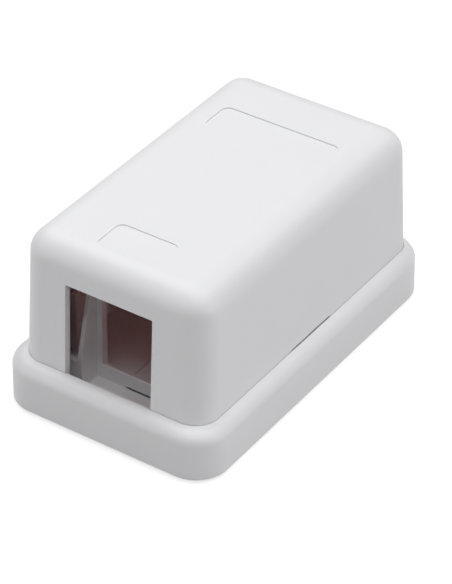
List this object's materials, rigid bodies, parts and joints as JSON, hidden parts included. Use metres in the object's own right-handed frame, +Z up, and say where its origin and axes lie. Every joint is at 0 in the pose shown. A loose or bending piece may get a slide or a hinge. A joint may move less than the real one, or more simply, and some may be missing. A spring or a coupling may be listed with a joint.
{
  "type": "surface mount jack box",
  "caption": "Surface mount box with one keystone opening: a base tray with a snap-in cradle under a lift-off rounded hood, on foam tape strips.",
  "frame": {"origin": "centre of the base tray, on the surface that the liners lie on", "axes": "+X to the right seen from the jack opening, +Y to the rear, +Z up out of the mounting surface"},
  "size_m": [0.0366, 0.06, 0.0293],
  "materials": {
    "base_plastic": "satin moulded white",
    "cover_plastic": "satin moulded white",
    "foam": "matt closed-cell foam",
    "liner": "smooth release paper"
  },
  "bodies": {
    "base": {"base": "base_plastic", "tape_left": "foam", "tape_right": "foam", "liner_left": "liner", "liner_right": "liner"},
    "cover": {"cover": "cover_plastic"}
  },
  "joints": [
    {"name": "cover_lift", "type": "slide", "parent": "base", "child": "cover", "axis": [0, 0, 1], "range_m": [0, 0.036]}
  ]
}
